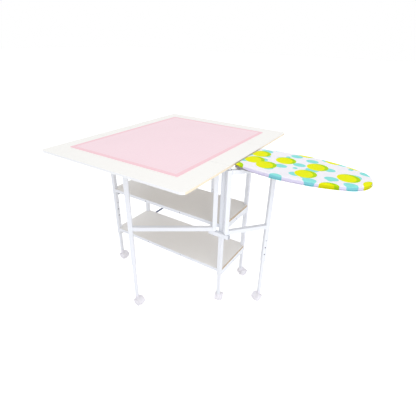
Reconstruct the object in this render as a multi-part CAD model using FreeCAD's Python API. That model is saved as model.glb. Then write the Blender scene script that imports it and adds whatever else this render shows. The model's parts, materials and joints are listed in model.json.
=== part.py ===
import FreeCAD, Part
import math
import os

from FreeCAD import Placement, Rotation, Vector

# Folding cutting table on castors: a two-shelf trolley carries a fixed centre top, two drop
# leaves and a fold-down ironing board, and three swing-out gate legs hold the leaves and board.
# Millimetres. +X runs along the trolley towards the ironing board's nose, +Y to the rear, +Z up.
# The origin is on the floor, at the centre of the whole footprint.

# ---- Driving dimensions: tops ----
top_height = 915.0
top_thickness = 12.0
top_length = 914.0
centre_width = 384.0
leaf_width = 372.0
seam_gap = 2.0
leaf_corner_radius = 28.0
top_edge_round = 1.2
mat_length = 712.0
mat_width = 915.0
mat_thickness = 2.0
mat_offset_x = -18.0
mat_offset_y = 8.0
mat_corner_radius = 6.0

# ---- Driving dimensions: ironing board ----
board_length = 592.7
board_gap = 6.0
board_width = 304.0
board_shoulder = 131.0
board_shoulder_width = 338.0
nose_radius = 126.0
board_thickness = 12.0
pad_thickness = 8.0
skirt_thickness = 3.0
skirt_drop = 12.0
soft_clearance = 0.3

# ---- Driving dimensions: trolley ----
post_inset_x = 50.5
post_inset_y = 42.0
tube_width = 24.0
tube_wall = 1.5
tube_corner = 2.5
post_bottom = 212.0
lower_shelf_height = 254.0
upper_shelf_height = 555.0
shelf_thickness = 15.0
channel_height = 35.0
channel_wall = 1.5
rail_height = 20.0
rail_flange = 15.0
rail_wall = 1.5
brace_width = 13.0
brace_thickness = 2.0
brace_foot_inset = 57.0
brace_span = 359.0

# ---- Driving dimensions: gates ----
leaf_gate_reach = 452.0
leaf_gate_angle = 34.7
end_gate_reach = 246.5
end_gate_angle = 39.9
gate_tube_bottom = 294.0
gate_foot_clearance = 0.3
pivot_offset = 28.0
leaf_pivot_inset = 30.0
end_pivot_outset = 41.0
bracket_inner = 62.0
bracket_outer = 61.0
bracket_height = 504.0
top_plate_thickness = 4.0
pin_radius = 5.0
pin_clearance = 0.05
pin_depth = 28.0
pin_head_radius = 8.0
pin_head_height = 4.0
washer_radius = 10.0
washer_thickness = 3.0
pivot_gap = 0.5
glide_height = 7.0
glide_taper = 4.0
glide_gap = 0.5
corner_cut = 8.0

# ---- Driving dimensions: telescoping legs and their buttons ----
leg_width = 18.0
leg_wall = 1.2
leg_corner = 2.0
leg_foot = 62.0
collar_clearance = 0.3
collar_length = 34.0
collar_lip = 2.0
hole_radius = 4.3
hole_pitch = 48.0
hole_count = 3
post_button_height = 451.0
gate_button_height = 440.0
leg_above_button = 16.0
button_radius = 4.0
button_clearance = 0.05
button_length = 9.0
button_sink = 0.4

# ---- Driving dimensions: castors ----
wheel_radius = 24.0
wheel_width = 17.0
castor_trail = 17.0
web_thickness = 9.0
web_gap = 0.5
hood_gap = 1.6
hood_wall = 2.4
neck_radius = 11.0
stem_radius = 5.5
stem_length = 30.0
stem_clearance = 0.05
swivel_gap = 0.3
axle_radius = 3.0
axle_clearance = 0.05
web_floor_gap = 6.0

# ---- Driving dimensions: hinges and screws ----
hinge_length = 60.0
hinge_plate = 26.0
hinge_plate_thickness = 2.0
hinge_edge_margin = 1.0
knuckle_radius = 3.0
leaf_hinge_inset = 157.0
board_hinge_spread = 110.0
screw_radius = 4.0
screw_rise = 1.6
rail_screw_spread = 130.0

# ---- Places that follow from the sizes above ----
skirt_reach = soft_clearance + skirt_thickness
total_length = top_length + board_gap + board_length + skirt_reach
top_left = -total_length / 2
top_right = top_left + top_length
board_root = top_right + board_gap
trolley_x = (top_left + top_right) / 2
post_x = (top_left + post_inset_x, top_right - post_inset_x)
post_y = centre_width / 2 - post_inset_y
underside = top_height - top_thickness
board_top = top_height - pad_thickness
board_under = board_top - board_thickness
half_tube = tube_width / 2
half_leg = leg_width / 2
bore_half = half_tube - tube_wall
shelf_length = post_x[1] - post_x[0] + tube_width
shelf_half_depth = post_y - half_tube
post_face = post_y + half_tube
pivot_y = post_y + pivot_offset
bracket_y = post_face + half_tube
plate_bottom = underside - top_plate_thickness
gate_bottom = bracket_height + half_tube + washer_thickness + gate_foot_clearance
leaf_gate_top = underside - glide_gap - glide_height
end_gate_top = board_under - glide_gap - glide_height
seam_y = centre_width / 2 + seam_gap / 2
leaf_hinge_spread = top_length / 2 - leaf_hinge_inset


def block(low, high):
    """A box between two corners."""
    return Part.makeBox(high[0] - low[0], high[1] - low[1], high[2] - low[2], Vector(*low))


def cylinder(radius, bottom, top, x=0.0, y=0.0):
    """An upright cylinder from one height to another."""
    return Part.makeCylinder(radius, top - bottom, Vector(x, y, bottom))


def rounded_rectangle(length, width, radius):
    """A flat wire about the origin with four round corners."""
    x, y = length / 2, width / 2
    k = radius * (1 - math.sqrt(0.5))
    edges = []
    for sx, sy, turn in ((1, 1, 0), (-1, 1, 1), (-1, -1, 0), (1, -1, 1)):
        first = Vector(sx * x, sy * (y - radius), 0)
        last = Vector(sx * (x - radius), sy * y, 0)
        middle = Vector(sx * (x - k), sy * (y - k), 0)
        start, end = (last, first) if turn else (first, last)
        edges.append((start, middle, end))
    parts = []
    for i, (start, middle, end) in enumerate(edges):
        parts.append(Part.Arc(start, middle, end).toShape())
        parts.append(Part.LineSegment(end, edges[(i + 1) % 4][0]).toShape())
    return Part.Wire(parts)


def square_tube(width, wall, corner, length):
    """A hollow square tube standing on the origin: round outside corners, a square bore."""
    inner = width / 2 - wall
    outside = Part.Face(rounded_rectangle(width, width, corner)).extrude(Vector(0, 0, length))
    bore = block((-inner, -inner, -1), (inner, inner, length + 1))
    return outside.cut(bore)


def laid_tube(low, high):
    """A frame tube lying between two points that share every coordinate but one."""
    start, end = Vector(*low), Vector(*high)
    run = end - start
    tube = square_tube(tube_width, tube_wall, tube_corner, run.Length)
    turn = Rotation(Vector(0, 0, 1), run)
    tube.Placement = Placement(start, turn)
    return tube


def standing_tube(x, y, bottom, top):
    """An upright frame tube."""
    return laid_tube((x, y, bottom), (x, y, top))


def placed(shape, x, y, angle=0.0):
    """A copy turned about Z through the origin and then moved."""
    copy = shape.copy()
    copy.Placement = Placement(Vector(x, y, 0), Rotation(Vector(0, 0, 1), angle)).multiply(copy.Placement)
    return copy


def rounded_top_edges(shape, height):
    """Rounds the edges of a flat board that lie on its top face."""
    edges = [e for e in shape.Edges if e.BoundBox.ZMin > height - 0.01]
    return shape.makeFillet(top_edge_round, edges)


# ---- Tops ----
def centre_top():
    board = block(
        (top_left, -centre_width / 2, underside),
        (top_right, centre_width / 2, top_height),
    )
    return rounded_top_edges(board, top_height)


def leaf(side):
    """A drop leaf on one side (-1 front, 1 rear), with its two outer corners rounded."""
    near = side * (centre_width / 2 + seam_gap)
    far = near + side * leaf_width
    board = block((top_left, min(near, far), underside), (top_right, max(near, far), top_height))
    outer = [
        e
        for e in board.Edges
        if e.BoundBox.ZLength > top_thickness / 2 and abs(e.BoundBox.Center.y - far) < 0.01
    ]
    return rounded_top_edges(board.makeFillet(leaf_corner_radius, outer), top_height)


def cutting_mat():
    face = Part.Face(rounded_rectangle(mat_length, mat_width, mat_corner_radius))
    mat = face.extrude(Vector(0, 0, mat_thickness))
    mat.translate(Vector(trolley_x + mat_offset_x, mat_offset_y, top_height))
    return mat


def board_outline():
    """The ironing board's plan: sides that widen to the shoulder, a long arc and a round nose.

    The shoulder's radius is the one whose arc is tangent to the side and to the nose circle.
    """
    root, shoulder = board_width / 2, board_shoulder_width / 2
    slope = math.atan2(root - shoulder, board_shoulder)
    inward = Vector(-math.sin(slope), -math.cos(slope), 0)
    start = Vector(board_shoulder, shoulder, 0)
    nose = Vector(board_length - nose_radius, 0, 0)
    gap = start - nose
    reach = (gap.dot(gap) - nose_radius**2) / (-2 * gap.dot(inward) - 2 * nose_radius)
    centre = start + inward * reach
    end = nose + (nose - centre).normalize() * nose_radius
    mid = centre + ((start - centre).normalize() + (end - centre).normalize()).normalize() * reach
    upper = [
        Part.LineSegment(Vector(0, root, 0), start).toShape(),
        Part.Arc(start, mid, end).toShape(),
    ]
    mirrored = [e.mirror(Vector(), Vector(0, 1, 0)) for e in reversed(upper)]
    tip = Part.Arc(end, Vector(board_length, 0, 0), Vector(end.x, -end.y, 0)).toShape()
    close = Part.LineSegment(Vector(0, -root, 0), Vector(0, root, 0)).toShape()
    return Part.Wire(Part.__sortEdges__(upper + [tip] + mirrored + [close]))


def board_slab(outset, bottom, top):
    """A slab with the ironing board's outline, grown outwards, between two heights."""
    face = Part.Face(board_outline())
    if outset:
        face = face.makeOffset2D(outset)
    slab = face.extrude(Vector(0, 0, top - bottom))
    slab.translate(Vector(board_root, 0, bottom))
    return slab


def ironing_board():
    return board_slab(0, board_under, board_top)


def ironing_pad():
    """The padded cover: a layer on the board with a skirt down its sides and nose."""
    cover = board_slab(skirt_reach, board_top - skirt_drop, top_height)
    hollow = board_slab(soft_clearance, board_top - skirt_drop - 1, board_top + soft_clearance)
    root_end = block(
        (board_root - 2 * skirt_reach, -board_width, board_top - skirt_drop - 1),
        (board_root, board_width, top_height + 1),
    )
    return cover.cut(hollow).cut(root_end)


# ---- Trolley ----
def tube_hole(x, y, height, direction):
    """The drill for a row of button holes through one wall, on the side that a direction names."""
    drills = []
    for i in range(hole_count):
        centre = Vector(x, y, height - i * hole_pitch)
        start = centre + direction * (bore_half - 1)
        drills.append(Part.makeCylinder(hole_radius, tube_wall + 2, start, direction))
    return Part.makeCompound(drills)


def corner_post(x, y, inward):
    """A corner post; its button holes are in the wall that faces the trolley's middle."""
    tube = standing_tube(x, y, post_bottom, underside)
    return tube.cut(tube_hole(x, y, post_button_height, Vector(inward, 0, 0)))


def top_frame():
    """Two long and two short rails between the posts, under the centre top."""
    height = underside - half_tube
    left, right = post_x[0] + half_tube, post_x[1] - half_tube
    rails = [laid_tube((left, y, height), (right, y, height)) for y in (-post_y, post_y)]
    rails += [
        laid_tube((x, -shelf_half_depth, height), (x, shelf_half_depth, height)) for x in post_x
    ]
    return Part.makeCompound(rails)


def shelf_board(height):
    """A board that fills the posts' outline, notched round each post."""
    bottom = height - shelf_thickness
    x, y = shelf_length / 2, post_face - rail_wall
    board = block((trolley_x - x, -y, bottom), (trolley_x + x, y, height))
    notches = [
        block((px - half_tube, py - half_tube, bottom - 1), (px + half_tube, py + half_tube, height + 1))
        for px in post_x
        for py in (-post_y, post_y)
    ]
    return board.cut(notches)


def shelf_channels(height):
    """The two steel channels under a shelf's ends, between the posts, open towards the middle."""
    top = height - shelf_thickness
    channels = []
    for side in (-1, 1):
        outer = trolley_x + side * shelf_length / 2
        web = outer - side * channel_wall
        inner = outer - side * tube_width
        low, high = min(outer, inner), max(outer, inner)
        bar = block((low, -shelf_half_depth, top - channel_height), (high, shelf_half_depth, top))
        hollow = block(
            (min(web, inner), -shelf_half_depth, top - channel_height + channel_wall),
            (max(web, inner), shelf_half_depth, top - channel_wall),
        )
        channels.append(bar.cut(hollow))
    return Part.makeCompound(channels)


def shelf_rails(height):
    """The steel angles along a shelf's front and rear edges, which carry it between the posts."""
    rails = []
    left, right = post_x[0] + half_tube, post_x[1] - half_tube
    under = height - shelf_thickness
    for side in (-1, 1):
        outer = side * post_face
        wall = outer - side * rail_wall
        toe = outer - side * (rail_wall + rail_flange)
        upright = block((left, min(outer, wall), height - rail_height), (right, max(outer, wall), height))
        flange = block((left, min(outer, toe), under - rail_wall), (right, max(outer, toe), under))
        rails.append(upright.fuse(flange).removeSplitter())
    return Part.makeCompound(rails)


def rear_brace():
    """A flat bar up the rear face, from the lower shelf's rail to the upper shelf's rail."""
    foot = Vector(post_x[0] + brace_foot_inset, post_face, lower_shelf_height - rail_height / 2)
    head = Vector(foot.x + brace_span, foot.y, upper_shelf_height - rail_height / 2)
    run = head - foot
    half = brace_width / 2
    bar = block((0, 0, -half), (run.Length, brace_thickness, half))
    ends = Part.makeCylinder(half, brace_thickness, Vector(), Vector(0, 1, 0))
    bar = bar.fuse([ends, ends.translated(Vector(run.Length, 0, 0))]).removeSplitter()
    bar.Placement = Placement(foot, Rotation(Vector(0, 1, 0), -math.degrees(math.atan2(run.z, run.x))))
    return bar


def screw_head(x, y, z, direction):
    """A low screw head standing on a face."""
    return Part.makeCylinder(screw_radius, screw_rise, Vector(x, y, z), direction)


def shelf_screws():
    """The screws in the middle of each end channel and along each shelf's rails."""
    heads = []
    for height in (lower_shelf_height, upper_shelf_height):
        channel_middle = height - shelf_thickness - channel_height / 2
        for side in (-1, 1):
            outer = trolley_x + side * shelf_length / 2
            heads.append(screw_head(outer, 0, channel_middle, Vector(side, 0, 0)))
            for offset in (-rail_screw_spread, rail_screw_spread):
                face = Vector(0, side, 0)
                y = side * post_face
                heads.append(screw_head(trolley_x + offset, y, height - rail_height / 2, face))
    return Part.makeCompound(heads)


# ---- Gate pivots ----
def bracket_ends(side):
    """Where a pivot bracket starts and ends along X: the front one crosses the right post and
    reaches out to the ironing board's gate, and the rear one stops at the left post's outer face."""
    if side < 0:
        return post_x[1] - bracket_inner, post_x[1] + bracket_outer
    return post_x[0] - half_tube, post_x[0] + bracket_inner


def leaf_pivot(side):
    """The axis of a leaf gate, beside its post."""
    return (post_x[1] - leaf_pivot_inset, -pivot_y) if side < 0 else (post_x[0] + leaf_pivot_inset, pivot_y)


def end_pivot():
    """The axis of the ironing board's gate, on the front bracket."""
    return post_x[1] + end_pivot_outset, -pivot_y


def lower_brackets():
    """Open tubes across the posts, with holes for the pivot bolts."""
    brackets = []
    for side in (-1, 1):
        start, end = bracket_ends(side)
        y = side * bracket_y
        tube = laid_tube((start, y, bracket_height), (end, y, bracket_height))
        pivots = [leaf_pivot(side)] + ([end_pivot()] if side < 0 else [])
        for px, py in pivots:
            bottom = bracket_height - tube_width
            tube = tube.cut(cylinder(pin_radius, bottom, bottom + 2 * tube_width, px, py))
        brackets.append(tube)
    return brackets


def top_plates():
    """Flat plates under the centre top that hold the upper pivots."""
    plates = []
    for side in (-1, 1):
        start, end = bracket_ends(side)
        near, far = side * post_face, side * centre_width / 2
        plates.append(
            block(
                (start, min(near, far), plate_bottom),
                (min(end, top_right), max(near, far), underside),
            )
        )
    return plates


def pivot_brackets():
    return Part.makeCompound(lower_brackets() + top_plates())


def lower_bolt(x, y):
    """A bolt up through the bracket and into the gate's foot."""
    bottom = bracket_height - half_tube
    shank = cylinder(pin_radius, bottom - pin_head_height, gate_bottom + pin_depth, x, y)
    head = cylinder(pin_head_radius, bottom - pin_head_height, bottom, x, y)
    return shank.fuse(head).removeSplitter()


def washer(x, y):
    bottom = bracket_height + half_tube
    ring = cylinder(washer_radius, bottom, bottom + washer_thickness, x, y)
    return ring.cut(cylinder(pin_radius, bottom - 1, bottom + washer_thickness + 1, x, y))


def upper_pin(x, y, gate_top):
    """A pin down from the top plate into the gate's head, with a spacer where the gate is lower."""
    pin = cylinder(pin_radius, gate_top - pin_depth, plate_bottom, x, y)
    spacer_bottom = gate_top + pivot_gap
    if plate_bottom - spacer_bottom > pivot_gap:
        pin = pin.fuse(cylinder(pin_head_radius, spacer_bottom, plate_bottom, x, y)).removeSplitter()
    return pin


def pivot_pins():
    pins = []
    for (x, y), top in (
        (leaf_pivot(-1), leaf_gate_top),
        (leaf_pivot(1), leaf_gate_top),
        (end_pivot(), end_gate_top),
    ):
        pins += [lower_bolt(x, y), washer(x, y), upper_pin(x, y, top)]
    return Part.makeCompound(pins)


# ---- Gates: drawn along +X from their pivot, then turned and moved ----
def foot_cut():
    """The drill that takes the lower outer corner off a gate's upright."""
    half = corner_cut * math.sqrt(0.5)
    cutter = block((-half, -tube_width, -half), (half, tube_width, half))
    cutter.Placement = Placement(Vector(-half_tube, 0, gate_bottom), Rotation(Vector(0, 1, 0), 45))
    return cutter


def gate_frame(reach, top, hole_side):
    """The upright, two rails and leg tube of a gate."""
    upright = standing_tube(0, 0, gate_bottom, top).cut(foot_cut())
    start, end = half_tube, reach - half_tube
    rails = [
        laid_tube((start, 0, z), (end, 0, z)) for z in (gate_bottom + half_tube, top - half_tube)
    ]
    leg = standing_tube(reach, 0, gate_tube_bottom, top)
    leg = leg.cut(tube_hole(reach, 0, gate_button_height, Vector(0, hole_side, 0)))
    return Part.makeCompound([upright, leg] + rails)


def bushing(bottom, top):
    """A plug in an upright's end with the pivot's bore."""
    plug = block((-bore_half, -bore_half, bottom), (bore_half, bore_half, top))
    return plug.cut(foot_cut()).cut(cylinder(pin_radius + pin_clearance, bottom - 1, top + 1))


def glide(x, top):
    """The cap on a gate leg's head that the leaf rests on: a plug below a tapered pad."""
    plug_half = bore_half
    foot = rounded_rectangle(tube_width, tube_width, tube_corner)
    head = rounded_rectangle(tube_width - glide_taper, tube_width - glide_taper, tube_corner)
    head.translate(Vector(0, 0, glide_height))
    cap = Part.makeLoft([foot, head], True, True)
    cap.translate(Vector(x, 0, top))
    plug = block((x - plug_half, -plug_half, top - half_tube), (x + plug_half, plug_half, top))
    return cap.fuse(plug).removeSplitter()


def collar(x, y, bottom):
    """The guide at a tube's mouth that the telescoping leg slides in."""
    inner = half_leg + collar_clearance
    sleeve = block(
        (x - bore_half, y - bore_half, bottom), (x + bore_half, y + bore_half, bottom + collar_length)
    )
    lip = Part.Face(rounded_rectangle(tube_width, tube_width, tube_corner)).extrude(Vector(0, 0, collar_lip))
    lip.translate(Vector(x, y, bottom - collar_lip))
    bore = block((x - inner, y - inner, bottom - 2 * collar_lip), (x + inner, y + inner, bottom + collar_length + 1))
    return sleeve.fuse(lip).removeSplitter().cut(bore)


def gate_fittings(reach, top):
    lower = bushing(gate_bottom, gate_bottom + pin_depth + tube_wall)
    upper = bushing(top - pin_depth - tube_wall, top)
    return Part.makeCompound([lower, upper, glide(reach, top), collar(reach, 0, gate_tube_bottom)])


# ---- Telescoping legs: drawn about the origin with the button towards +X ----
def inner_leg(button_height):
    """The slim tube of a leg, with the plug in its foot that takes the castor's stem."""
    top = button_height + leg_above_button
    tube = square_tube(leg_width, leg_wall, leg_corner, top - leg_foot)
    tube.translate(Vector(0, 0, leg_foot))
    drill = Part.makeCylinder(
        button_radius + button_clearance,
        leg_wall + 2,
        Vector(half_leg - leg_wall - 1, 0, button_height),
        Vector(1, 0, 0),
    )
    inner = half_leg - leg_wall
    plug = block((-inner, -inner, leg_foot), (inner, inner, leg_foot + stem_length + tube_wall))
    bore = cylinder(stem_radius + stem_clearance, leg_foot - 1, leg_foot + stem_length + 2 * tube_wall)
    return Part.makeCompound([tube.cut(drill), plug.cut(bore)])


def snap_button(height):
    """A pin that lies pressed in, just inside the outer tube."""
    tip = bore_half - button_sink
    return Part.makeCylinder(button_radius, button_length, Vector(tip - button_length, 0, height), Vector(1, 0, 0))


# ---- Castors: swivel axis on the origin, wheels trailing towards +X ----
def castor_body():
    """The hood over the twin wheels, the web between them, the neck and the stem."""
    inner = wheel_radius + hood_gap
    outer = inner + hood_wall
    width = web_thickness + 2 * (web_gap + wheel_width)
    hood = ring_across(outer, inner, width)
    below = block((-outer, -width, -outer), (castor_trail + 2 * outer, width, wheel_radius))
    web = Part.makeCylinder(
        inner + hood_wall / 2, web_thickness, Vector(castor_trail, -web_thickness / 2, wheel_radius), Vector(0, 1, 0)
    )
    web = web.cut(block((-outer, -width, -outer), (castor_trail + 2 * outer, width, web_floor_gap)))
    axle_bore = Part.makeCylinder(
        axle_radius + axle_clearance, width, Vector(castor_trail, -width / 2, wheel_radius), Vector(0, 1, 0)
    )
    neck_bottom = wheel_radius + outer * 0.6
    neck = cylinder(neck_radius, neck_bottom, leg_foot - swivel_gap)
    room = Part.makeCylinder(inner, width, Vector(castor_trail, -width / 2, wheel_radius), Vector(0, 1, 0))
    body = hood.cut(below).fuse([neck.cut(room), web]).removeSplitter().cut(axle_bore)
    stem = cylinder(stem_radius, leg_foot - swivel_gap, leg_foot + stem_length - swivel_gap)
    return Part.makeCompound([body, stem])


def ring_across(outer, inner, width):
    """A ring about the axle's line."""
    start = Vector(castor_trail, -width / 2, wheel_radius)
    across = Vector(0, 1, 0)
    return Part.makeCylinder(outer, width, start, across).cut(Part.makeCylinder(inner, width, start, across))


def castor_wheels():
    """Both wheels and their axle, turned as one."""
    inner = web_thickness / 2 + web_gap
    outer = inner + wheel_width
    half = [
        (0, outer),
        (wheel_radius, outer),
        (wheel_radius, inner),
        (axle_radius, inner),
    ]
    points = [Vector(r, y, 0) for r, y in half] + [Vector(r, -y, 0) for r, y in reversed(half)]
    profile = Part.Face(Part.makePolygon(points + points[:1]))
    wheels = profile.revolve(Vector(), Vector(0, 1, 0), 360)
    wheels.translate(Vector(castor_trail, 0, wheel_radius))
    return wheels


# ---- Hinges: barrel along X on the origin's line ----
def knuckle(index, length):
    """One of the three knuckles of a barrel along X."""
    step = length / 3
    return Part.makeCylinder(knuckle_radius, step, Vector(index * step - length / 2, 0, 0), Vector(1, 0, 0))


def knuckle_room(indexes, length):
    """The space that a flap leaves for the other flap's knuckles."""
    step = length / 3
    return [
        block(
            (i * step - length / 2, -knuckle_radius, -knuckle_radius),
            ((i + 1) * step - length / 2, knuckle_radius, knuckle_radius),
        )
        for i in indexes
    ]


def flat_flap(indexes, length):
    """A flap with its plate level with the barrel's top, out to +Y, carrying the named knuckles."""
    others = [i for i in range(3) if i not in indexes]
    plate = block(
        (-length / 2, 0, knuckle_radius - hinge_plate_thickness), (length / 2, hinge_plate, knuckle_radius)
    )
    flap = plate.cut(knuckle_room(others, length)).fuse([knuckle(i, length) for i in indexes])
    return flap.removeSplitter()


def end_flap(index, length, low, high):
    """A flap whose plate stands against a face beside the barrel, carrying one knuckle."""
    others = [i for i in range(3) if i != index]
    plate = block(
        (-length / 2, knuckle_radius - hinge_plate_thickness, low), (length / 2, knuckle_radius, high)
    )
    flap = plate.cut(knuckle_room(others, length)).fuse(knuckle(index, length))
    return flap.removeSplitter()


def leaf_hinges(side):
    """The three hinges under one leaf's seam."""
    outward = flat_flap([1], hinge_length)
    inward = flat_flap([0, 2], hinge_length).mirror(Vector(), Vector(0, 1, 0))
    shapes = []
    for offset in (-leaf_hinge_spread, 0, leaf_hinge_spread):
        for flap in (outward, inward):
            place = Vector(trolley_x + offset, side * seam_y, underside - knuckle_radius)
            shapes.append(flap.translated(place))
    return Part.makeCompound(shapes)


def board_hinges():
    """Two hinges between the centre top's end and the ironing board's end face."""
    barrel_height = underside - knuckle_radius
    low = board_under + hinge_edge_margin - barrel_height
    high = board_top - hinge_edge_margin - barrel_height
    under_top = placed(flat_flap([0, 2], hinge_length), 0, 0, 90)
    on_board = placed(end_flap(1, hinge_length, low, high), 0, 0, -90)
    shapes = []
    for offset in (-board_hinge_spread, board_hinge_spread):
        for flap in (under_top, on_board):
            shapes.append(flap.translated(Vector(board_root - knuckle_radius, offset, barrel_height)))
    return Part.makeCompound(shapes)


# ---- Assembly ----
corners = {
    "front_right": (post_x[1], -post_y, -1),
    "front_left": (post_x[0], -post_y, 1),
    "rear_right": (post_x[1], post_y, -1),
    "rear_left": (post_x[0], post_y, 1),
}
gates = {
    "front_gate": (leaf_pivot(-1), 180 + leaf_gate_angle, leaf_gate_reach, leaf_gate_top, -1),
    "rear_gate": (leaf_pivot(1), leaf_gate_angle, leaf_gate_reach, leaf_gate_top, -1),
    "end_gate": (end_pivot(), 90 - end_gate_angle, end_gate_reach, end_gate_top, -1),
}
castor_turns = {
    "front_right": 105.0,
    "front_left": 2.0,
    "rear_right": 64.0,
    "rear_left": 20.0,
    "front_gate": -4.0,
    "rear_gate": 60.0,
    "end_gate": -108.0,
}

nodes = {
    "centre_top": centre_top(),
    "front_leaf": leaf(-1),
    "rear_leaf": leaf(1),
    "cutting_mat": cutting_mat(),
    "front_leaf_hinges": leaf_hinges(-1),
    "rear_leaf_hinges": leaf_hinges(1),
    "ironing_board": ironing_board(),
    "ironing_pad": ironing_pad(),
    "ironing_board_hinges": board_hinges(),
    "top_frame": top_frame(),
    "lower_shelf_board": shelf_board(lower_shelf_height),
    "lower_shelf_channels": shelf_channels(lower_shelf_height),
    "lower_shelf_rails": shelf_rails(lower_shelf_height),
    "upper_shelf_board": shelf_board(upper_shelf_height),
    "upper_shelf_channels": shelf_channels(upper_shelf_height),
    "upper_shelf_rails": shelf_rails(upper_shelf_height),
    "shelf_screws": shelf_screws(),
    "rear_brace": rear_brace(),
    "pivot_brackets": pivot_brackets(),
    "pivot_pins": pivot_pins(),
    "post_collars": Part.makeCompound([collar(x, y, post_bottom) for x, y, _ in corners.values()]),
}

foot_places = {}
for name, (x, y, inward) in corners.items():
    nodes["post_" + name] = corner_post(x, y, inward)
    foot_places[name] = (x, y, 0.0 if inward > 0 else 180.0, post_button_height)

for name, ((x, y), angle, reach, top, hole_side) in gates.items():
    nodes[name + "_frame"] = placed(gate_frame(reach, top, hole_side), x, y, angle)
    nodes[name + "_fittings"] = placed(gate_fittings(reach, top), x, y, angle)
    heading = math.radians(angle)
    foot = (x + reach * math.cos(heading), y + reach * math.sin(heading))
    foot_places[name] = (foot[0], foot[1], angle + 90.0 * hole_side, gate_button_height)

for name, (x, y, angle, button_height) in foot_places.items():
    nodes["leg_" + name] = placed(inner_leg(button_height), x, y, angle)
    nodes["button_" + name] = placed(snap_button(button_height), x, y, angle)
    nodes["castor_body_" + name] = placed(castor_body(), x, y, castor_turns[name])
    nodes["castor_wheels_" + name] = placed(castor_wheels(), x, y, castor_turns[name])

os.makedirs("parts", exist_ok=True)
for name, shape in nodes.items():
    shape.exportStep("parts/" + name + ".step")
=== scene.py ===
"""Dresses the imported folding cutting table: finishes on its steel, boards, mat and castors,
a padded ironing cover, screws, welds and hub caps, and a plain studio around it."""

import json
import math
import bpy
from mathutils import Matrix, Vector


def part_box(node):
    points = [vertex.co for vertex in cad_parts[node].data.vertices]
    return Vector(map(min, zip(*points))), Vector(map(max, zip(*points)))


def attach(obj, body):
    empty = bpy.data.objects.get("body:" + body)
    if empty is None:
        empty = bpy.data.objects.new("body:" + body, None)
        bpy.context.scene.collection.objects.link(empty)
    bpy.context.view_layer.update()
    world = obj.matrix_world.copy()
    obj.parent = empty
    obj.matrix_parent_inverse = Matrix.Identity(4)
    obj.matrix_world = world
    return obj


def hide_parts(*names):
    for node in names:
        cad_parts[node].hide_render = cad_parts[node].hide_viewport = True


bl_info = {
    "name": "Folding cutting table",
    "version": (1, 0, 0),
    "blender": (4, 5, 0),
    "location": "3D View > Sidebar > Table",
    "description": "Finishes, soft goods and studio for a folding cutting table on castors",
    "category": "Object",
}

import bmesh
import bpy
from mathutils import Matrix, Vector, noise

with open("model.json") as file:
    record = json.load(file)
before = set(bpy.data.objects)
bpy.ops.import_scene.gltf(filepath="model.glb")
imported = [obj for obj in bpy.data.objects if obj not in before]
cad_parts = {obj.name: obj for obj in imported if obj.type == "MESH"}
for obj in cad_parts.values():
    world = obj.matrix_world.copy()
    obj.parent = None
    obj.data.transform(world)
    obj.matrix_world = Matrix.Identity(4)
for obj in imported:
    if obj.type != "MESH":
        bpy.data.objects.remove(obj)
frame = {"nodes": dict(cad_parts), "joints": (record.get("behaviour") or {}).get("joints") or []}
nodes = frame["nodes"]
joints = {joint["child"]: joint for joint in frame["joints"]}
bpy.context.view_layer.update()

FEET = ("front_right", "front_left", "rear_right", "rear_left", "front_gate", "rear_gate", "end_gate")
GATES = ("front_gate", "rear_gate", "end_gate")
MM = 0.001
UP = Vector((0, 0, 1))
JOINED = 1e-5  # Points of a CAD mesh that are nearer than this, in metres, are one.
TOUCHING = 1e-6  # The same for points made here.


# ---- Shader expressions ----
class Value:
    """A node's output that Python's arithmetic and comparisons can work on."""

    def __init__(self, shading, socket):
        self.shading, self.socket = shading, socket

    def to(self, operation, *others):
        """Any Math operation, such as FLOOR, SINE or MAXIMUM."""
        return self.shading.node("ShaderNodeMath", {"operation": operation}, self, *others)

    def __add__(self, other):
        return self.to("ADD", other)

    __radd__ = __add__

    def __mul__(self, other):
        return self.to("MULTIPLY", other)

    __rmul__ = __mul__

    def __sub__(self, other):
        return self.to("SUBTRACT", other)

    def __rsub__(self, other):
        return self * -1 + other

    def __truediv__(self, other):
        return self.to("DIVIDE", other)

    def __gt__(self, other):
        return self.to("GREATER_THAN", other)

    def __lt__(self, other):
        return self.to("LESS_THAN", other)

    def __abs__(self):
        return self.to("ABSOLUTE")


class Shading:
    """Makes the nodes of one material's or world's tree."""

    def __init__(self, owner):
        owner.use_nodes = True
        self.tree = owner.node_tree

    def node(self, kind, settings, *values, out=0, **named):
        """Makes a node, sets its settings, fills its sockets in order or by name, and gives its output.

        The settings of a colour ramp are its stops, and out may name several outputs.
        """
        made = self.tree.nodes.new(kind)
        for key, setting in settings.items():
            if key == "stops":
                self.set_stops(made.color_ramp, setting)
            else:
                setattr(made, key, setting)
        for key, value in list(enumerate(values)) + list(named.items()):
            self.feed(made.inputs[key], value)
        if isinstance(out, tuple):
            return [Value(self, made.outputs[name]) for name in out]
        return Value(self, made.outputs[out])

    def set_stops(self, ramp, stops):
        """Gives a colour ramp its stops of place and colour."""
        while len(ramp.elements) < len(stops):
            ramp.elements.new(0.5)
        for element, (place, colour) in zip(ramp.elements, stops):
            element.position, element.color = place, (*colour, 1)

    def feed(self, socket, value):
        """Links or sets one socket, and gives a plain colour its alpha."""
        if isinstance(value, Value):
            self.tree.links.new(value.socket, socket)
        elif socket.type == "RGBA":
            socket.default_value = (*value, 1)
        elif value is not None:
            socket.default_value = value

    def mix(self, share, under, over, blend="MIX"):
        """One colour over another, or blended with it, by a share from 0 to 1."""
        unused = (None,) * 5
        settings = {"data_type": "RGBA", "blend_type": blend}
        return self.node("ShaderNodeMix", settings, share, *unused, under, over, out=2)

    def seen(self):
        """1 for what the view sees, straight, in a reflection or through glass."""
        rays = ("Is Camera Ray", "Is Glossy Ray", "Is Transmission Ray")
        straight, mirrored, through = self.node("ShaderNodeLightPath", {}, out=rays)
        return straight.to("MAXIMUM", mirrored).to("MAXIMUM", through)


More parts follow.
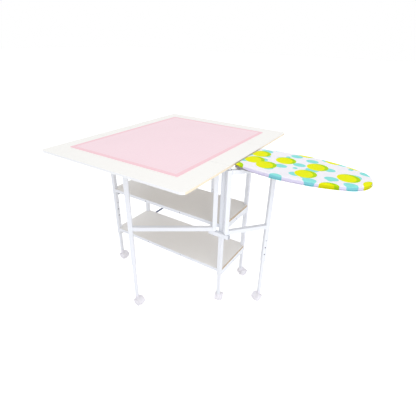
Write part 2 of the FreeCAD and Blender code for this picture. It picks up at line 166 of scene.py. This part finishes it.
class Paint(Shading):
    """A material whose shader nodes are made one by one."""

    def __init__(self, name):
        self.material = bpy.data.materials.new(name)
        super().__init__(self.material)
        self.shader = self.tree.nodes["Principled BSDF"]
        self.place, self.facing = self.node("ShaderNodeTexCoord", {}, out=("Object", "Normal"))

    def parts(self, vector):
        """The three components of a vector."""
        return self.node("ShaderNodeSeparateXYZ", {}, vector, out=(0, 1, 2))

    def ramp(self, value, *stops):
        """A colour ramp from stops of place and colour."""
        return self.node("ShaderNodeValToRGB", {"stops": stops}, value)

    def stretch(self, *scale):
        """The object's coordinates, scaled along each axis."""
        return self.node("ShaderNodeMapping", {}, Vector=self.place, Scale=scale)

    def noise(self, scale, detail=2.0, vector=None):
        """Soft noise, with its scale in waves to the metre."""
        place = vector or self.place
        return self.node("ShaderNodeTexNoise", {}, Vector=place, Scale=scale, Detail=detail, out="Fac")

    def finish(self, colour, roughness, height=None, depth=0.2 * MM, **others):
        """Joins the colour, roughness, relief and any other shader value to the shader."""
        for key, value in {"Base Color": colour, "Roughness": roughness, **others}.items():
            self.feed(self.shader.inputs[key], value)
        if height is not None:
            bump = self.node("ShaderNodeBump", {}, Height=height, Distance=depth, Strength=1.0)
            self.feed(self.shader.inputs["Normal"], bump)
        return self.material


def tone(text):
    """A colour written as six hex digits, as the shader's linear numbers."""
    channels = [int(text[i : i + 2], 16) / 255 for i in (0, 2, 4)]
    return tuple(c / 12.92 if c <= 0.04045 else ((c + 0.055) / 1.055) ** 2.4 for c in channels)


def darker(colour, share):
    """A colour with a share of its light taken away."""
    return tuple(c * (1 - share) for c in colour)


# ---- Finishes ----
def coated_steel(name, colour, tube_shade=None, tube_shade_colour=None):
    """Gloss powder coat with a faint orange peel, and painted shade where a mask of the material says
    so.
    """
    paint = Paint(name)
    shade = paint.mix(paint.noise(6, 3) * 0.5, tuple(colour), darker(colour, 0.05))
    if tube_shade:
        shade = paint.mix(tube_shade(paint), shade, tuple(tube_shade_colour))
    peel = paint.noise(900, 1)
    gloss = 0.3 + paint.noise(40) * 0.1
    return paint.finish(shade, gloss, peel, 0.06 * MM, **{"Coat Weight": 0.15})


def leg_tube_shade(foot):
    """Gives the mask of painted shade on a leg, where its tube hides it.

    It lies above what the leg's travel can show, and behind the two lower holes of its tube, so that
    they show dark.
    """
    low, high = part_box("button_" + foot)
    out, middle = Vector(joints["button_" + foot]["axis"]).normalized(), (low + high) / 2
    tube_foot = (294 if foot in GATES else 212) * MM
    travel, margin, pitch, spot = 96 * MM, 4 * MM, 48 * MM, 5 * MM
    side = out.cross(UP)

    def tube_shade(paint):
        x, y, height = paint.parts(paint.place)
        x, y = x - middle.x, y - middle.y
        ahead, aside = x * out.x + y * out.y, x * side.x + y * side.y
        mask = height > tube_foot + travel + margin
        for hole in (1, 2):
            rise = height - (middle.z - hole * pitch)
            near = (aside * aside + rise * rise) < spot * spot
            mask = mask.to("MAXIMUM", near * (ahead > 0))
        return mask

    return tube_shade


def laminate(name, face, lit_front_band, end_band, back, grain=0.5):
    """A laminated board: a fine-grained face, a banded edge all round and a plain back, whose front
    band can be set lighter as a painted highlight.
    """
    paint = Paint(name)
    _, facing_y, facing_z = paint.parts(paint.facing)
    streaks = paint.noise(1.0, 6, paint.stretch(3, 60, 200))
    fleck = paint.noise(1500, 2)
    top = paint.mix(streaks * grain, tuple(face), darker(face, 0.04))
    top = paint.mix((fleck > 0.66) * 0.25, top, darker(face, 0.06))
    wood = paint.noise(1.0, 4, paint.stretch(9, 9, 500))
    # Painted highlight: the edge facing the front takes its own band colour, which is set whiter on the
    # tops for the lit front, though the real band is one colour all round.
    front = paint.mix(wood, tuple(lit_front_band), darker(lit_front_band, 0.05))
    end = paint.mix(wood, tuple(end_band), darker(end_band, 0.12))
    edge = paint.mix(facing_y < -0.5, end, front)
    under = paint.mix(fleck, tuple(back), darker(back, 0.1))
    colour = paint.mix(facing_z > 0.5, edge, top)
    colour = paint.mix(facing_z < -0.5, colour, under)
    return paint.finish(colour, 0.42 + fleck * 0.08, fleck, 0.05 * MM)


def ruled(place, start, pitch, width):
    """1 on evenly spaced lines across one direction."""
    off = abs(((place - start) / pitch).to("FRACT") - 0.5)
    return off > 0.5 - width / pitch


def within(x, y, low, high, inset):
    """1 inside a rectangle drawn in by an inset."""
    inside = (x > low.x + inset) * (x < high.x - inset)
    return inside * (y > low.y + inset) * (y < high.y - inset)


def mat_finish(colour, border, line):
    """A flexible cutting mat with a fine and a bold grid inside a darker border."""
    paint = Paint("cutting_mat")
    low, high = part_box("cutting_mat")
    x, y, _ = paint.parts(paint.place)
    margin, rule = 24 * MM, 1.2 * MM
    inside = within(x, y, low, high, margin)
    frame_line = within(x, y, low, high, margin - rule) - inside
    grids = []
    fine, bold = (12.7 * MM, 0.35 * MM, 0.35), (25.4 * MM, 0.6 * MM, 0.75)
    for pitch, width, strength in (fine, bold):
        along = ruled(x, low.x + margin, pitch, width)
        across = ruled(y, low.y + margin, pitch, width)
        grids.append(along.to("MAXIMUM", across) * strength)
    lines = (inside * grids[0].to("MAXIMUM", grids[1])).to("MAXIMUM", frame_line)
    base = paint.mix(inside, tuple(border), tuple(colour))
    base = paint.mix(paint.noise(5, 3) * 0.04, base, (0, 0, 0))
    return paint.finish(paint.mix(lines, base, tuple(line)), 0.55, paint.noise(1800, 1), 0.04 * MM)


def scatter(flat, pitch, radius, shift, turn, stretch=1.0):
    """The mask of a round print at one jittered place in each cell of a turned and stretched grid.

    The pitch and the radius are in millimetres.
    """
    pitch, radius = pitch * MM, radius * MM
    scale = (1 / pitch, stretch / pitch, 1)
    place, turns = (*shift, 0), (0, 0, turn)
    spots = flat.shading.node(
        "ShaderNodeMapping", {}, Vector=flat, Location=place, Rotation=turns, Scale=scale
    )
    cells = {"voronoi_dimensions": "2D", "feature": "F1"}
    near = flat.shading.node(
        "ShaderNodeTexVoronoi", cells, Vector=spots, Scale=1.0, Randomness=0.5, out="Distance"
    )
    return near < radius / pitch


def cover_print(cloth, side, lime, leaf, aqua):
    """Woven cotton with two-toned lime rounds and aqua ovals, and painted shade on its gathered sides.
    """
    paint = Paint("cover_print")
    _, _, facing_z = paint.parts(paint.facing)
    flat = paint.stretch(1, 1, 0)
    ovals = scatter(flat, pitch=112, radius=31, shift=(0.31, 0.12), turn=0.55, stretch=1.3)
    drops = scatter(flat, pitch=131, radius=12, shift=(0.66, 0.4), turn=1.1)
    discs = scatter(flat, pitch=150, radius=50, shift=(0.05, 0.37), turn=0.2)
    lit = scatter(flat, pitch=150, radius=47, shift=(0.12, 0.44), turn=0.2)
    dapple = paint.noise(60, 2) * 0.5
    bright = paint.mix(dapple, tuple(lime), darker(lime, 0.12))
    shaded = paint.mix(dapple, tuple(leaf), tuple(lime))
    colour = paint.mix(ovals.to("MAXIMUM", drops), tuple(cloth), tuple(aqua))
    colour = paint.mix(discs, colour, paint.mix(lit, shaded, bright))
    # Painted shade: faces that stand rather than lie, which are the cover's sides, are darkened towards
    # the side tone.
    side_shade = paint.ramp(facing_z, (0.2, tuple(side)), (0.85, (1, 1, 1)))
    colour = paint.mix(1.0, colour, side_shade, "MULTIPLY")
    x, y, _ = paint.parts(paint.place)
    thread = math.tau / (1.1 * MM)
    weave = ((x + y) * thread).to("SINE") * ((x - y) * thread).to("SINE")
    rumple = paint.noise(30, 3) * 2
    return paint.finish(colour, 0.85, weave + rumple, 0.12 * MM, **{"Specular IOR Level": 0.15})


def plain_finish(name, colour, roughness, metallic=0.0, grain=200, spread=0.06):
    """A moulded or plated finish with a little unevenness in tone, gloss and relief."""
    paint = Paint(name)
    wear = paint.noise(grain, 3)
    shade = paint.mix(wear, tuple(colour), darker(colour, spread))
    relief = paint.noise(grain * 4, 1)
    return paint.finish(shade, roughness + wear * 0.12, relief, 0.05 * MM, Metallic=metallic)


def dress(material, *names):
    """Gives CAD nodes a material in place of the record's plain one."""
    for name in names:
        mesh = nodes[name].data
        mesh.materials.clear()
        mesh.materials.append(material)


def finished(material_name):
    """A finish made earlier, by name."""
    return bpy.data.materials[material_name]


# ---- Building pieces ----
def mesh_from(name, form):
    """The mesh of a bmesh, which is freed."""
    mesh = bpy.data.meshes.new(name)
    form.to_mesh(mesh)
    form.free()
    return mesh


def linked(name, data):
    """An object of a mesh, curve, lamp or camera, in the scene."""
    made = bpy.data.objects.new(name, data)
    bpy.context.scene.collection.objects.link(made)
    return made


def piece(name, form, body, material, smooth=True):
    """Turns a bmesh into a shown piece that rides on a body."""
    bmesh.ops.recalc_face_normals(form, faces=form.faces)
    mesh = mesh_from(name, form)
    for face in mesh.polygons:
        face.use_smooth = smooth
    made = linked(name, mesh)
    mesh.materials.append(material)
    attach(made, body)
    return made


def turned(*columns):
    """The turn that carries X, Y and Z to three directions."""
    return Matrix(columns).transposed().to_4x4()


def lathe(form, profile, axis, centre, steps=24):
    """Spins a profile of radius and rise about an axis through a centre."""
    axis = Vector(axis).normalized()
    side = axis.orthogonal().normalized()
    points = [form.verts.new(Vector(centre) + side * r + axis * h) for r, h in profile]
    edges = [form.edges.new(pair) for pair in zip(points, points[1:])]
    bmesh.ops.spin(
        form, geom=points + edges, cent=centre, axis=axis, angle=math.tau, steps=steps, use_merge=True
    )
    bmesh.ops.remove_doubles(form, verts=form.verts, dist=TOUCHING)


def cross(form, centre, out):
    """A thin cross lying in a screw's head, which is painted as the shade in its recess."""
    side = out.orthogonal().normalized()
    length, width, depth = 4.2 * MM, 0.9 * MM, 0.4 * MM
    lying = Matrix.Translation(centre) @ turned(side, out.cross(side), out)
    for turn in (0, math.pi / 2):
        arm = bmesh.ops.create_cube(form, size=1)["verts"]
        bmesh.ops.scale(form, verts=arm, vec=(length, width, depth))
        bmesh.ops.transform(form, verts=arm, matrix=lying @ Matrix.Rotation(turn, 4, "Z"))


def weld(form, centre, along, across, half, radius):
    """A rippled bead round the end of a square tube: an oval turned through the tube's four corners."""
    first = len(form.verts)
    corner = (across + UP).normalized()
    oval = bmesh.ops.create_circle(form, segments=8, radius=radius)["verts"]
    bmesh.ops.scale(form, verts=oval, vec=(math.sqrt(2), 1, 1))
    place = Matrix.Translation(centre + corner * half * math.sqrt(2))
    place = place @ turned(corner, along, corner.cross(along))
    bmesh.ops.transform(form, verts=oval, matrix=place)
    rim = oval + list({edge for vertex in oval for edge in vertex.link_edges})
    bmesh.ops.spin(form, geom=rim, cent=centre, axis=along, angle=math.tau, steps=4, use_merge=True)
    form.verts.ensure_lookup_table()
    ring = {edge for vertex in form.verts[first:] for edge in vertex.link_edges}
    sides = [edge for edge in ring if edge.calc_length() > half]
    bmesh.ops.subdivide_edges(form, edges=sides, cuts=12, use_grid_fill=True)
    form.verts.ensure_lookup_table()
    for vertex in form.verts[first:]:
        ripple = noise.noise(vertex.co * 600)
        vertex.co += (vertex.co - centre).normalized() * ripple * radius * 0.5


def islands(node):
    """The boxes of the separate solids in a CAD node."""
    form = bmesh.new()
    form.from_mesh(node.data)
    bmesh.ops.remove_doubles(form, verts=form.verts, dist=JOINED)
    left, found = set(form.verts), []
    while left:
        stack, group = [left.pop()], []
        while stack:
            vertex = stack.pop()
            group.append(vertex.co.copy())
            for edge in vertex.link_edges:
                other = edge.other_vert(vertex)
                if other in left:
                    left.discard(other)
                    stack.append(other)
        found.append((Vector(map(min, zip(*group))), Vector(map(max, zip(*group)))))
    form.free()
    return sorted(found, key=lambda pair: tuple(pair[0]))


# ---- Settings ----
def colour_setting(name, description, text):
    """A colour, with its default in six hex digits."""
    return bpy.props.FloatVectorProperty(
        name=name, description=description, subtype="COLOR", size=3, min=0, max=1, default=tone(text)
    )


def power_setting(name, description, default):
    """A lamp's power in watts."""
    return bpy.props.FloatProperty(
        name=name, description=description, unit="POWER", min=0, default=default
    )


def length_setting(name, description, default):
    """A length in metres."""
    return bpy.props.FloatProperty(
        name=name, description=description, unit="LENGTH", min=0, default=default, precision=4
    )


class TableFinishes(bpy.types.PropertyGroup):
    """Colours of the table's finishes."""

    steel: colour_setting("Steel", "Powder coat on tubes, rails and gates", "F0F3F9")
    # Painted shade: the legs' colour where their tubes hide them and behind the tubes' holes.
    tube_shade_colour: colour_setting("Bare steel", "Sliding legs, in their tubes and behind the holes", "55565C")
    brace: colour_setting("Brace", "Coat of the flat rear brace", "6E7890")
    top: colour_setting("Tops", "Face of the centre top and leaves", "FEFDF8")
    # Painted highlight: set whiter than the end band to stand for light falling on the front edges.
    lit_front_band: colour_setting("Front band", "Band on the boards' front and rear edges", "F8FAFC")
    end_band: colour_setting("End band", "Wood-toned band on the boards' ends", "FAECD2")
    back: colour_setting("Backs", "Underside of the tops and shelves", "D9D2C6")
    shelf: colour_setting("Shelves", "Face of the shelves", "F6F4F1")
    shelf_band: colour_setting("Shelf band", "Wood-toned band on the shelves' ends", "BFA98C")
    mat: colour_setting("Mat", "Cutting mat", "FFE2E9")
    mat_border: colour_setting("Mat border", "Ruled border of the cutting mat", "FDD3DB")
    mat_line: colour_setting("Mat lines", "Grid printed on the cutting mat", "FFF0F3")
    cloth: colour_setting("Cover", "Ground of the ironing cover", "FCFAFF")
    # Painted shade: the tone that darkens the cover's sides where they hang down.
    side: colour_setting("Cover's sides", "Tone that dulls the cover where it hangs down", "DCD8EC")
    lime: colour_setting("Lime", "Light part of the large rounds", "F6FA08")
    leaf: colour_setting("Green", "Dark part of the large rounds", "9EDB10")
    aqua: colour_setting("Aqua", "Small ovals", "93ECE4")
    board: colour_setting("Board", "Wood of the ironing board", "8C8789")
    hood: colour_setting("Castor hoods", "Moulded hoods and necks", "F6F4FA")
    tyre: colour_setting("Castor wheels", "Moulded wheels", "F8F6FB")


class CoverSizes(bpy.types.PropertyGroup):
    """Sizes of the padded ironing cover."""

    remesh: length_setting("Mesh size", "Voxel size of the cover's cloth", 0.0045)
    swell: length_setting("Swell", "Most that a point may move as the pad fills", 0.002)
    lift: length_setting("Lifted hem", "Length over which the hem rises to the square corners", 0.085)
    cloth: length_setting("Cloth", "Thickness of the cover's cloth at its sides", 0.0014)
    pucker: length_setting("Pucker", "Depth of the gathers above the hem", 0.0014)
    hem: length_setting("Hem", "Radius of the drawcord casing at the hem", 0.0016)


class StudioSettings(bpy.types.PropertyGroup):
    """Light and view."""

    key: power_setting("Key", "Power of the large soft lamp", 15)
    low: power_setting("Low lamp", "Power of the lamp that reaches under the tops", 7)
    fill: colour_setting("Fill", "Light from the surroundings", "F1F1F3")
    lens: bpy.props.FloatProperty(
        name="Lens", description="Focal length in millimetres", default=27.93, min=1
    )


# ---- Operators ----
class TABLE_OT_steel(bpy.types.Operator):
    """Coats the posts, frames, rails, gates and legs."""

    bl_idname = "table.steel"
    bl_label = "Steel"

    def execute(self, context):
        colours = context.scene.table_finishes
        names = ["post_" + foot for foot in FEET if foot not in GATES]
        names += [gate + "_frame" for gate in GATES]
        names += ["top_frame", "pivot_brackets"]
        for shelf in ("lower_shelf_", "upper_shelf_"):
            names += [shelf + "channels", shelf + "rails"]
        dress(coated_steel("coated_steel", colours.steel), *names)
        # Each leg is painted darker where its tube hides it, as painted shade seen through the holes.
        for foot in FEET:
            coat = coated_steel("leg_coat_" + foot, colours.steel, leg_tube_shade(foot), colours.tube_shade_colour)
            dress(coat, "leg_" + foot)
        # The rear brace takes a darker grey-blue than the other steel.
        dress(coated_steel("brace_coat", colours.brace), "rear_brace")
        plate = plain_finish("zinc_plate", tone("C9CBD0"), 0.3, metallic=0.9, grain=300)
        dress(plate, "pivot_pins", "front_leaf_hinges", "rear_leaf_hinges", "ironing_board_hinges")
        dress(plate, *["button_" + foot for foot in FEET])
        plastic = plain_finish("white_moulding", tone("F0F0F2"), 0.4)
        dress(plastic, "post_collars", *[gate + "_fittings" for gate in GATES])
        return {"FINISHED"}


class TABLE_OT_boards(bpy.types.Operator):
    """Finishes the tops, the shelves and the ironing board."""

    bl_idname = "table.boards"
    bl_label = "Boards"

    def execute(self, context):
        colours = context.scene.table_finishes
        top = laminate("top_laminate", colours.top, colours.lit_front_band, colours.end_band, colours.back)
        dress(top, "centre_top", "front_leaf", "rear_leaf")
        band = colours.shelf_band
        shelf = laminate("shelf_laminate", colours.shelf, band, band, colours.back)
        dress(shelf, "lower_shelf_board", "upper_shelf_board")
        wood = colours.board
        dress(laminate("board_wood", wood, wood, wood, wood, grain=1.0), "ironing_board")
        return {"FINISHED"}


class TABLE_OT_mat(bpy.types.Operator):
    """Prints the cutting mat."""

    bl_idname = "table.mat"
    bl_label = "Cutting mat"

    def execute(self, context):
        colours = context.scene.table_finishes
        dress(mat_finish(colours.mat, colours.mat_border, colours.mat_line), "cutting_mat")
        return {"FINISHED"}


class TABLE_OT_cover(bpy.types.Operator):
    """Pads the ironing board: a filled cover with gathered sides and a drawcord hem."""

    bl_idname = "table.cover"
    bl_label = "Ironing cover"
    root_side = 4 * MM  # Height that the sides keep at the board's root.

    def execute(self, context):
        sizes, colours = context.scene.cover_sizes, context.scene.table_finishes
        cotton = cover_print(colours.cloth, colours.side, colours.lime, colours.leaf, colours.aqua)
        self.low, self.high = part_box("ironing_pad")
        self.board_low, self.board_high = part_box("ironing_board")
        self.rise = (self.high.z - self.low.z - self.root_side) / sizes.lift
        outline = self.outline()
        room_above, room_around, lost_height = 1.2 * MM, 0.7 * MM, 2 * MM
        form = bmesh.new()
        rim = [form.verts.new((x, y, self.high.z - room_above)) for x, y in outline]
        top = form.faces.new(rim)
        bmesh.ops.inset_region(form, faces=[top], thickness=room_around, use_even_offset=True)
        border = [face for face in form.faces if len(face.verts) == 4]
        bmesh.ops.delete(form, geom=border, context="FACES")
        wall = bmesh.ops.extrude_face_region(form, geom=form.faces[:])
        down = [part for part in wall["geom"] if isinstance(part, bmesh.types.BMVert)]
        bmesh.ops.translate(form, verts=down, vec=(0, 0, self.low.z - self.high.z + lost_height))
        cover = piece("ironing_cover", form, "trolley", cotton)
        self.fill(context, cover, sizes)
        self.open_below(cover)
        self.gather(cover, sizes)
        cloth = cover.modifiers.new("cloth", "SOLIDIFY")
        cloth.thickness, cloth.offset = sizes.cloth, -1
        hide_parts("ironing_pad")
        self.hem(outline, sizes, cotton)
        return {"FINISHED"}

    def outline(self):
        """The cover's plan, read round the top face of its CAD solid."""
        form = bmesh.new()
        form.from_mesh(nodes["ironing_pad"].data)
        bmesh.ops.remove_doubles(form, verts=form.verts, dist=JOINED)
        top = self.high.z - 0.1 * MM
        sides = [face for face in form.faces if face.calc_center_median().z < top]
        bmesh.ops.delete(form, geom=sides, context="FACES")
        rim = [edge for edge in form.edges if edge.is_boundary]
        if not rim:
            raise RuntimeError("the ironing pad has no top face to read")
        here = rim[0].verts[0]
        edge, points = rim[0], []
        while edge is not None:
            points.append((here.co.x, here.co.y))
            rim.remove(edge)
            here = edge.other_vert(here)
            edge = next((other for other in here.link_edges if other in rim), None)
        form.free()
        return points

    def fill(self, context, cover, sizes):
        """Remeshes the cover evenly and swells it like a filled cushion."""
        remesh = cover.modifiers.new("even", "REMESH")
        remesh.mode, remesh.voxel_size = "VOXEL", sizes.remesh
        self.apply(context, cover, "even")
        steps, tiny = 20, 1e-9
        before = [vertex.co.copy() for vertex in cover.data.vertices]
        swelling = cover.modifiers.new("swell", "CLOTH")
        swelling.settings.use_pressure = True
        swelling.settings.uniform_pressure_force = 4
        swelling.settings.effector_weights.gravity = 0
        for step in range(1, steps + 1):
            context.scene.frame_set(step)
        self.apply(context, cover, "swell")
        context.scene.frame_set(1)
        for vertex, start in zip(cover.data.vertices, before):
            shift = vertex.co - start
            vertex.co = start + shift * min(1, sizes.swell / max(shift.length, tiny))

    def apply(self, context, cover, name):
        """Replaces the cover's mesh with its shape after a modifier."""
        graph = context.evaluated_depsgraph_get()
        shaped = bpy.data.meshes.new_from_object(cover.evaluated_get(graph))
        cover.modifiers.remove(cover.modifiers[name])
        old, cover.data = cover.data, shaped
        bpy.data.meshes.remove(old)
        for face in shaped.polygons:
            face.use_smooth = True

    def open_below(self, cover):
        """Opens the cover where the board goes in, and cuts its sides back to the lifted hem."""
        form = bmesh.new()
        form.from_mesh(cover.data)
        inside = []
        root_end, hem_start = self.board_low.x + 4 * MM, self.board_low.x + 6 * MM
        corner_start, downwards = self.board_high.y * 0.7, -0.7
        for face in form.faces:
            spot = face.calc_center_median()
            if spot.z < self.board_high.z and (face.normal.z < downwards or spot.x < root_end):
                inside.append(face)
        bmesh.ops.delete(form, geom=inside, context="FACES")
        for side in (-1, 1):
            corner = [face for face in form.faces if face.calc_center_median().y * side > corner_start]
            edges = {edge for face in corner for edge in face.edges}
            verts = {vertex for face in corner for vertex in face.verts}
            bmesh.ops.bisect_plane(
                form,
                geom=corner + list(edges) + list(verts),
                plane_co=(self.board_low.x, 0, self.high.z - self.root_side),
                plane_no=(-self.rise, 0, -1),
                clear_outer=True,
            )
        for _ in range(2):
            bmesh.ops.smooth_vert(
                form, verts=form.verts, factor=0.4, use_axis_x=True, use_axis_y=True, use_axis_z=True
            )
        for vertex in form.verts:
            if vertex.is_boundary and vertex.co.x > hem_start:
                vertex.co.z = self.hem_height(vertex.co.x)
        form.to_mesh(cover.data)
        form.free()

    def hem_height(self, x):
        """The height of the hem, which rises towards the cover's square corners."""
        sizes = bpy.context.scene.cover_sizes
        return self.low.z + sizes.hem + max(0, sizes.lift - (x - self.board_low.x)) * self.rise

    def gather(self, cover, sizes):
        """Puckers the sides outwards, more towards the hem."""
        centre = (self.low + self.high) / 2
        plain_band = 6 * MM
        for vertex in cover.data.vertices:
            drop = (self.high.z - plain_band - vertex.co.z) / (self.high.z - self.low.z)
            if drop > 0:
                out = Vector((vertex.co.x - centre.x, (vertex.co.y - centre.y) * 2, 0)).normalized()
                along = vertex.co.x * 230 + vertex.co.y * 190
                wave = 0.5 + math.sin(along) * 0.3 + noise.noise(vertex.co * 90) * 0.5
                vertex.co += out * max(wave, 0) * sizes.pucker * drop

    def hem(self, outline, sizes, cotton):
        """The drawcord's casing: a tube of the cover's cloth round its lower edge."""
        root_gap = 1 * MM
        route = [spot for spot in outline if spot[0] > self.board_low.x + root_gap]
        gaps = [(Vector(spot) - Vector(route[i - 1])).length for i, spot in enumerate(route)]
        start = gaps.index(max(gaps))
        route = route[start:] + route[:start]
        curve = bpy.data.curves.new("ironing_cover_hem", "CURVE")
        curve.dimensions, curve.bevel_depth, curve.use_fill_caps = "3D", sizes.hem, True
        spline = curve.splines.new("POLY")
        spline.points.add(len(route) - 1)
        for point, (x, y) in zip(spline.points, route):
            point.co = (x, y, self.hem_height(x), 1)
        tube = linked("ironing_cover_hem_route", curve)
        form = bmesh.new()
        form.from_mesh(tube.to_mesh())
        bpy.data.objects.remove(tube)
        bmesh.ops.remove_doubles(form, verts=form.verts, dist=TOUCHING)
        piece("ironing_cover_hem", form, "trolley", cotton)


class TABLE_OT_castors(bpy.types.Operator):
    """Finishes the castors and caps their hubs."""

    bl_idname = "table.castors"
    bl_label = "Castors"

    def execute(self, context):
        colours = context.scene.table_finishes
        hood = plain_finish("castor_hood", tuple(colours.hood), 0.38)
        tyre = plain_finish("castor_tyre", tuple(colours.tyre), 0.45, spread=0.1)
        dress(hood, *["castor_body_" + foot for foot in FEET])
        dress(tyre, *["castor_wheels_" + foot for foot in FEET])
        wheel_face = 22.0 * MM
        hub = [(0, 2.2), (5.0, 1.9), (7.5, 0.9), (8.2, 0.3)]
        rim = [(17.5, 0.3), (18.5, 1.0), (20.5, 1.0), (21.5, -0.4)]
        profile = [(radius * MM, rise * MM) for radius, rise in hub + rim]
        for foot in FEET:
            roll = joints["wheels_" + foot]
            axis, centre = Vector(roll["axis"]), Vector(roll["pos_m"])
            form = bmesh.new()
            for side in (-1, 1):
                lathe(form, profile, axis * side, centre + axis * side * wheel_face, steps=36)
            piece("wheel_caps_" + foot, form, "wheels_" + foot, hood)
        return {"FINISHED"}


class TABLE_OT_screws(bpy.types.Operator):
    """Replaces the shelves' screws with domed heads, each with a dark cross of painted shade for its
    recess.
    """

    bl_idname = "table.screws"
    bl_label = "Screws"

    def execute(self, context):
        heads, shade_crosses = bmesh.new(), bmesh.new()
        low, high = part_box("shelf_screws")
        middle = (low + high) / 2
        head = [(0, 1.6), (1.6, 1.5), (3.0, 1.1), (3.9, 0.4), (4.0, 0)]
        profile = [(radius * MM, rise * MM) for radius, rise in head]
        sink, recess = 0.8, 1.45
        for low, high in islands(nodes["shelf_screws"]):
            size, centre = high - low, (low + high) / 2
            out = Vector((1, 0, 0)) if size.x < size.y else Vector((0, 1, 0))
            if (centre - middle).dot(out) < 0:
                out = -out
            seat = centre - out * sink * MM
            lathe(heads, profile, out, seat, steps=20)
            cross(shade_crosses, seat + out * recess * MM, out)
        plated = piece("screw_heads", heads, "trolley", finished("zinc_plate"))
        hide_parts("shelf_screws")
        # Painted shade: near-black crosses stand for the shade in each head's cross recess.
        dark = plain_finish("recess", tone("3A3B3F"), 0.6)
        piece("screw_recess_shade", shade_crosses, "trolley", dark, False)
        return {"FINISHED"}


class TABLE_OT_welds(bpy.types.Operator):
    """Runs a weld bead round each end of the gates' rails."""

    bl_idname = "table.welds"
    bl_label = "Welds"

    def execute(self, context):
        coat = finished("coated_steel")
        half, gate_foot, bead = 12 * MM, 519.3 * MM, 1.3 * MM
        for gate in GATES:
            pivot = Vector(joints[gate]["pos_m"])
            low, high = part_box("leg_" + gate)
            reach = (low + high) / 2 - pivot
            reach.z = 0
            along = reach.normalized()
            form = bmesh.new()
            gate_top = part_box(gate + "_frame")[1].z
            for height in (gate_foot + half, gate_top - half):
                for distance in (half, reach.length - half):
                    spot = Vector((pivot.x, pivot.y, height)) + along * distance
                    weld(form, spot, along, along.cross(UP), half, bead)
            piece("welds_" + gate, form, gate, coat)
        return {"FINISHED"}


class TABLE_OT_studio(bpy.types.Operator):
    """Sets the floor, the lamps, the surroundings and the camera."""

    bl_idname = "table.studio"
    bl_label = "Studio"

    def execute(self, context):
        studio = context.scene.studio
        self.floor()
        self.surroundings(context, studio.fill)
        self.lamp("key", (1.9, -1.7, 3.6), 2.0, studio.key)
        self.lamp("low", (1.6, -1.4, 0.9), 1.0, studio.low)
        view = bpy.data.cameras.new("view")
        view.lens, view.sensor_width, view.sensor_fit = studio.lens, 36, "HORIZONTAL"
        view.clip_start, view.clip_end = 0.05, 100
        camera = linked("view", view)
        right, up = Vector((0.8467, 0.5315, 0.0261)), Vector((-0.2694, 0.3859, 0.8823))
        place = Vector((0.8228, -1.479, 1.4544))
        camera.matrix_world = Matrix.Translation(place) @ turned(right, up, right.cross(up))
        context.scene.camera = camera
        context.scene.view_settings.view_transform = "Standard"
        return {"FINISHED"}

    def floor(self):
        """A pale floor that shows as white and keeps soft shadows."""
        form = bmesh.new()
        bmesh.ops.create_grid(form, x_segments=1, y_segments=1, size=30)
        floor = linked("floor", mesh_from("floor", form))
        paint = Paint("floor")
        paint.finish((0.9, 0.9, 0.9), 0.9)
        plain = Value(paint, paint.shader.outputs[0])
        glow = paint.node("ShaderNodeEmission", {}, (1, 1, 1), 0.55)
        both = paint.node("ShaderNodeAddShader", {}, plain, glow)
        shown = paint.node("ShaderNodeMixShader", {}, paint.seen(), plain, both)
        paint.feed(paint.tree.nodes["Material Output"].inputs["Surface"], shown)
        floor.data.materials.append(paint.material)

    def surroundings(self, context, fill):
        """Surroundings that light the table softly and are white where they are seen."""
        world = bpy.data.worlds.new("studio")
        sky = Shading(world)
        shown = sky.mix(sky.seen(), tuple(fill), (1, 1, 1))
        sky.feed(sky.tree.nodes["Background"].inputs["Color"], shown)
        context.scene.world = world

    def lamp(self, name, place, size, power):
        """A square soft lamp aimed at the table's middle."""
        light = bpy.data.lights.new(name, "AREA")
        light.size, light.energy = size, power
        lamp = linked(name, light)
        middle = Vector((-0.2, 0, 0.6))
        lamp.location = place
        lamp.rotation_euler = (middle - Vector(place)).to_track_quat("-Z", "Y").to_euler()


class TABLE_PT_panel(bpy.types.Panel):
    """Lists the table's settings and steps."""

    bl_label = "Cutting table"
    bl_idname = "TABLE_PT_panel"
    bl_space_type = "VIEW_3D"
    bl_region_type = "UI"
    bl_category = "Table"

    def draw(self, context):
        for group in (context.scene.table_finishes, context.scene.cover_sizes, context.scene.studio):
            box = self.layout.box()
            for name in group.__annotations__:
                box.prop(group, name)
        for step in STEPS:
            self.layout.operator(step.bl_idname)


STEPS = (
    TABLE_OT_steel,
    TABLE_OT_boards,
    TABLE_OT_mat,
    TABLE_OT_cover,
    TABLE_OT_castors,
    TABLE_OT_screws,
    TABLE_OT_welds,
    TABLE_OT_studio,
)
CLASSES = (TableFinishes, CoverSizes, StudioSettings, *STEPS, TABLE_PT_panel)


def register():
    for cls in CLASSES:
        bpy.utils.register_class(cls)
    bpy.types.Scene.table_finishes = bpy.props.PointerProperty(type=TableFinishes)
    bpy.types.Scene.cover_sizes = bpy.props.PointerProperty(type=CoverSizes)
    bpy.types.Scene.studio = bpy.props.PointerProperty(type=StudioSettings)


def unregister():
    del bpy.types.Scene.studio
    del bpy.types.Scene.cover_sizes
    del bpy.types.Scene.table_finishes
    for cls in reversed(CLASSES):
        bpy.utils.unregister_class(cls)


def main():
    register()
    for step in STEPS:
        group, name = step.bl_idname.split(".")
        getattr(getattr(bpy.ops, group), name)()


if __name__ == "__main__":
    main()
